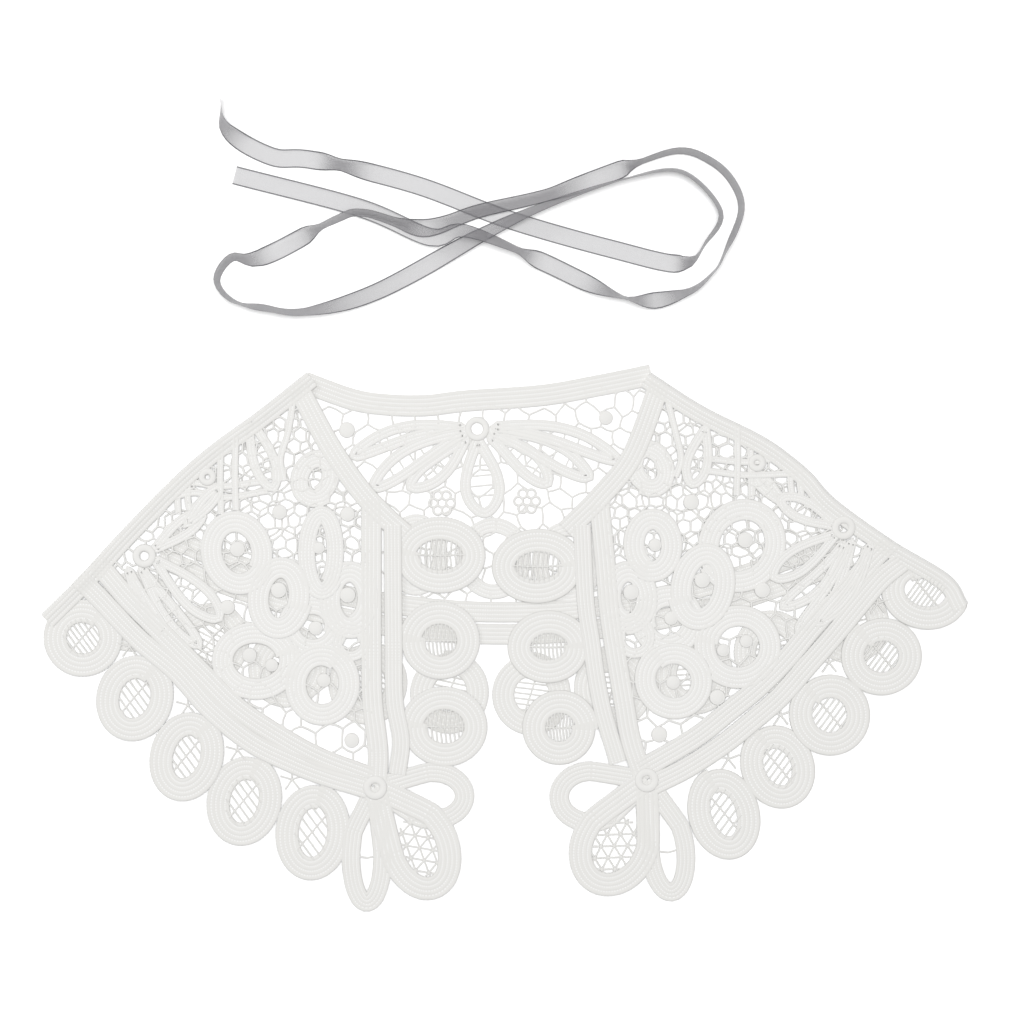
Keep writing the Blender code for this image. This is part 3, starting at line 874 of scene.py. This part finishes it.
FRONT_SPOTS = {
    "left": [
        Spot(-84.8, 24.3, 4.3), Spot(-100.4, 49.7, 3.2), Spot(-122, 27, 4.3),
        Spot(-102, 6.5, 3.8), Spot(-137.7, -8.1, 4), Spot(-125.8, -13.5, 3.5),
        Spot(-97.7, -21.6, 3.8), Spot(-144.2, 49.1, 4.2), Spot(-121.5, 69.1, 4),
        Spot(-84.8, 68, 4), Spot(-82.6, -54, 4), Spot(-149.6, 17.8, 4),
    ],
    "right": [
        Spot(68, 25.9, 4.3), Spot(81, 51.3, 3.5), Spot(106.4, 32.4, 4.3), Spot(89.6, 11.9, 3.8),
        Spot(129.6, 54, 4.3), Spot(130.1, -0.5, 3.5), Spot(117.7, -5.4, 3.5),
        Spot(90.7, -22.7, 3.8), Spot(100.4, 74.5, 4.3), Spot(83.2, -50.8, 4.3),
        Spot(114.5, -30.8, 4.3), Spot(138.8, 27, 4.3),
    ],
}
FAN_RING = {"left": (-194.4, 45.4), "right": (182.5, 60.5)}
FRONT_LEAVES = {
    "left": [
        Leaf(-189, 49, -163, 68.5, 6.5, 0, 3), Leaf(-188.5, 43.5, -154, 12, 9, 0, 4),
        Leaf(-196, 39, -165, -3, 6, -2, 3), Leaf(-137.7, 119, -125, 82, 8, 0, 4),
        Leaf(-203, 38, -183, 4, 4.5, -2, 2), Leaf(-172, 62, -154, 82, 5, 0, 2),
    ],
    "right": [
        Leaf(178.5, 61.6, 149, 76, 7.5, 0, 3), Leaf(178.5, 57.2, 145, 34, 8.5, 0, 3),
        Leaf(182.5, 52, 150, 18, 6.5, 4, 3), Leaf(187, 53, 158, 5, 5.5, 4, 3),
        Leaf(108, 114, 101, 84, 8, 0, 3), Leaf(197.1, 51.3, 169, 9, 5, 4, 3),
        Leaf(150, 74, 134, 90, 5, 0, 2),
    ],
}
TRELLIS = {                 # narrow tapes that cross above the flower
    "left": [[(-184, 82), (-170, 85), (-152, 83), (-128, 86)],
             [(-182, 76), (-168, 79.5), (-150, 77), (-128, 80.5)],
             [(-153, 106), (-153.5, 88), (-153, 68)], [(-145, 110), (-145.5, 90), (-145, 70)],
             [(-176, 84), (-176.5, 76), (-176, 68)], [(-171, 84), (-171, 76), (-170, 70)],
             [(-114, 130), (-117, 112), (-121, 98), (-119, 86)]],
    "right": [[(108, 98), (130, 96), (150, 98), (160, 92)], [(108, 91.5), (130, 89), (158, 90)],
              [(125, 118), (125.5, 98), (125, 78)], [(133, 116), (132.5, 98), (133, 76)],
              [(154, 92), (154, 84), (155, 78)], [(159, 92), (159, 84), (160, 78)],
              [(88, 128), (92, 112), (95, 98), (92, 88)]],
}
TRELLIS_DISCS = {"left": (-160.4, 88), "right": (136, 95.6)}
TRELLIS_TAPE = 3.6
FOLD_TAPE, FOLD_TAPE_INSET = 13.0, 3.0
EDGE_TAPE = 9.5
FINE_FROM, COARSE_TO = 38, 44       # heights where the two grounds give way to each other
GROUND_SEEDS = {"left": (3, 13), "right": (5, 15)}


def front_outline(side):
    """The edge of a front's ground, between its fold and the tapes that frame it."""
    line = [Vector(point) for point in FOLD[side][:-1]]
    line = [point - way * HAND[side] * 4 for point, way in zip(line, sideways(line))]
    return [*line, *(Vector(point) for point in LOWER_BAND[side][1:]),
            *(Vector(point) for point in FRONT_BAND[side][-2::-1]),
            *(Vector(point) for point in FRONT_NECK[side][2::-1])]


def inside_outline(outline, point):
    """Whether a line to the right of the point crosses the outline an odd number of times."""
    crossings = 0
    for a, b in zip(outline, [*outline[1:], outline[0]]):
        if (a.y > point.y) != (b.y > point.y):
            crossings += point.x < a.x + (point.y - a.y) * (b.x - a.x) / (b.y - a.y)
    return crossings % 2 == 1


def front_lace(side):
    work = Lacework(f"front_lace_{side}", side, 0)
    for oval in FLOWER[side]:
        width = min(11.5, 0.72 * oval.half_width)
        loop_of_tape(work, oval, FLOWER_CENTRE[side][:2], width, spin=HAND[side])
    loop_of_tape(work, FLOWER_CENTRE[side], FRONT_BAND[side][1], width=5.5, ribs=3)
    work.ring(*FAN_RING[side], outer=6.5, hole=2.3)
    for leaf in FRONT_LEAVES[side]:
        work.leaf(leaf)
    for spot in FRONT_SPOTS[side]:
        work.spot(*spot)
    for line in TRELLIS[side]:
        work.tape(smooth(line, LINE_STEP), TRELLIS_TAPE, ribs=2)
    work.ring(*TRELLIS_DISCS[side], outer=4.9, hole=1.2)
    outline = front_outline(side)
    corner = (min(point.x for point in outline), min(point.y for point in outline))
    far = (max(point.x for point in outline), max(point.y for point in outline))
    fine_seed, coarse_seed = GROUND_SEEDS[side]
    work.net(lambda point: inside_outline(outline, point) and point.y > FINE_FROM,
             corner, far, FINE_CELL, fine_seed)
    work.net(lambda point: inside_outline(outline, point) and point.y < COARSE_TO,
             corner, far, COARSE_CELL, coarse_seed)
    work.lay(GROUND_COTTON, [f"front_panel_{side}"])


def front_tapes(side):
    work = Lacework(f"front_tapes_{side}", side, 0.15)
    work.tape(smooth(LOWER_BAND[side], LINE_STEP))
    work.tape(smooth(HEM_TAPE[side], LINE_STEP))
    work.tape(smooth(FRONT_EDGE[side], LINE_STEP), EDGE_TAPE)
    work.tape(smooth(FRONT_BAND[side], LINE_STEP))
    edge = smooth(FOLD[side], LINE_STEP)
    edge = [point + way * HAND[side] * FOLD_TAPE_INSET for point, way in zip(edge, sideways(edge))]
    work.tape(edge, FOLD_TAPE, ribs=6)
    names = ["front_band", "front_ground", "lower_band", "hem_ground"]
    work.lay(TAPE_COTTON, [f"{name}_{side}" for name in names])


def front_neck_tape(side):
    work = Lacework(f"front_neck_tape_{side}", side)
    work.tape(smooth(FRONT_NECK[side], LINE_STEP), NECK_TAPE)
    work.lay(TAPE_COTTON, [f"neck_band_front_{side}", f"shoulder_fold_{side}"])


for front in ("left", "right"):
    front_lace(front)
    front_tapes(front)
    front_neck_tape(front)


# ------------------------------------------------------------------------------
# Loops of the fronts: five scallops along each hem and three up each centre front, each a turn
# of tape with a net in it, and three drops of tape from a worked ring at each lower corner.
# ------------------------------------------------------------------------------
HEM_LOOPS = {
    "left": [Oval(-228, 1.5, 21.5, 21.5, 0), Oval(-200, -31, 21, 24, -15),
             Oval(-172, -62.5, 20, 25, -15), Oval(-141, -86.5, 20.5, 25, -12),
             Oval(-104, -103.5, 20.5, 26.5, -5)],
    "right": [Oval(227, 26, 24, 20.5, -12), Oval(203.5, -8.5, 22, 21.5, 12),
              Oval(175.5, -40, 22, 22.5, 15), Oval(147.5, -68, 20, 23.5, 20),
              Oval(118.5, -93.5, 19.5, 25.5, 15)],
}
CORNER_LARGE = {"left": Oval(-46, -112, 21.5, 29, 20), "right": Oval(59, -111, 23.5, 28, -28)}
CORNER_SMALL = {"left": Oval(-74.5, -117.5, 13.5, 29, 0), "right": Oval(88, -114.5, 14.5, 26.5, 5)}
CORNER_UPPER = {"left": Oval(-38.5, -84, 22, 18, 0), "right": Oval(46, -84.5, 22, 19, 0)}
FRONT_LOOPS = {
    "left": [Oval(-35, 45.5, 25, 21, 0), Oval(-35, -0.5, 22, 21.5, 0),
             Oval(-32.5, -47, 23.5, 22, 0)],
    "right": [Oval(17.5, 39.5, 25, 20.5, 0), Oval(23.5, -4, 22.5, 20, 0),
              Oval(29.5, -47.5, 20.5, 20.5, 0)],
}
CORNER_RING = {"left": (-70, -79.5), "right": (76.5, -75.5)}
CORNER_TAPES = {"upper": 10.5, "small": 10.0, "large": LOOP_TAPE}
CENTRE_LOOP_LEAN = (-20, 4)         # from a loop's middle to where its turn of tape starts
GAP_STAR = 6.5


def comb_net(work, oval, inset, ribs=4, tucked=1.2):
    """A level spine with upright ribs, like a comb."""
    edge = inset - tucked
    lines = [bar_in_oval(oval, edge, (0, 0), (way, 0.05)) for way in (1, -1)]
    wide = oval.half_width - inset
    for index in range(-ribs, ribs + 1):
        place = wide * index / (ribs + 0.6)
        for way in (-1, 1):
            lines.append(bar_in_oval(oval, edge, (place, 0), (0.12, way)))
    work.bars(lines, THREAD)


def star_net(work, oval, inset, pitch=6.2, tucked=1.0):
    """Three sets of bars that cross in stars."""
    edge = inset - tucked
    long_side = max(oval.half_width, oval.half_height) - inset
    lines = []
    for turn in (30, 90, 150):
        angle = math.radians(turn)
        way = (math.cos(angle), math.sin(angle))
        for index in range(-4, 5):
            start = (-way[1] * index * pitch, way[0] * index * pitch)
            spread = ((start[0] / (oval.half_width - inset)) ** 2
                      + (start[1] / (oval.half_height - inset)) ** 2)
            if abs(index * pitch) > long_side or spread > 0.9:
                continue
            lines.append([oval_place(oval, oval_reach(oval, edge, start, way)),
                          oval_place(oval, oval_reach(oval, edge, start, (-way[0], -way[1])))])
    work.bars(lines, THREAD)


def gap_star(work, place, reach, turn):
    """Short bars from one knot, in the gap between two loops and the tape."""
    lines = []
    for index in range(5):
        angle = math.radians(turn + 72 * index)
        lines.append([place, place + Vector((math.cos(angle), math.sin(angle))) * reach])
    work.bars(lines, THREAD)


def hem_loops(side):
    work = Lacework(f"hem_loops_{side}", side, -0.2)
    chain, spin = HEM_LOOPS[side], HAND[side]
    hem = smooth(HEM_TAPE[side], 3.0)
    for oval in chain:
        anchor = min(hem, key=lambda place: math.hypot(place.x - oval.x, place.y - oval.y))
        loop_of_tape(work, oval, anchor, LOOP_TAPE, spin=spin)
        leaf_vein_net(work, oval, LOOP_TAPE, tilt=-40 * spin - oval.lean, slant=-0.25 * spin)
    for first, second in zip(chain, chain[1:]):
        middle = Vector(((first.x + second.x) / 2, (first.y + second.y) / 2))
        nearest = min(hem, key=lambda place: (place - middle).length)
        gap_star(work, middle.lerp(nearest, 0.72), GAP_STAR, turn=20)
    names = [f"hem_loop_{index + 1}_{side}" for index in range(len(chain))]
    work.lay(TAPE_COTTON, names)


def centre_loops(side):
    work = Lacework(f"centre_loops_{side}", side, -0.2)
    chain, spin = FRONT_LOOPS[side], HAND[side]
    across, up = CENTRE_LOOP_LEAN
    for oval in chain:
        loop_of_tape(work, oval, (oval.x + across * spin, oval.y + up), LOOP_TAPE, spin=spin)
        comb_net(work, oval, LOOP_TAPE)
    names = [f"front_loop_{index + 1}_{side}" for index in range(len(chain))]
    work.lay(TAPE_COTTON, names)


def corner_loops(side):
    work = Lacework(f"corner_loops_{side}", side, -0.1)
    drops = {"upper": CORNER_UPPER[side], "small": CORNER_SMALL[side], "large": CORNER_LARGE[side]}
    for name, oval in drops.items():
        drop_of_tape(work, oval, CORNER_RING[side], CORNER_TAPES[name])
    star_net(work, drops["large"], LOOP_TAPE)
    work.bars([bar_in_oval(drops["small"], 9, (0, 0), (way, 0.2)) for way in (1, -1)], THREAD)
    names = [f"corner_loop_{name}_{side}" for name in ("large", "small", "upper")]
    work.lay(TAPE_COTTON, names)


def worked_ring(side):
    work = Lacework(f"worked_ring_{side}", side, 0.3)
    work.ring(*CORNER_RING[side], outer=6.7, hole=2.2)
    work.lay(GROUND_COTTON, [f"corner_ring_{side}"])


for front in ("left", "right"):
    hem_loops(front)
    centre_loops(front)
    corner_loops(front)
    worked_ring(front)
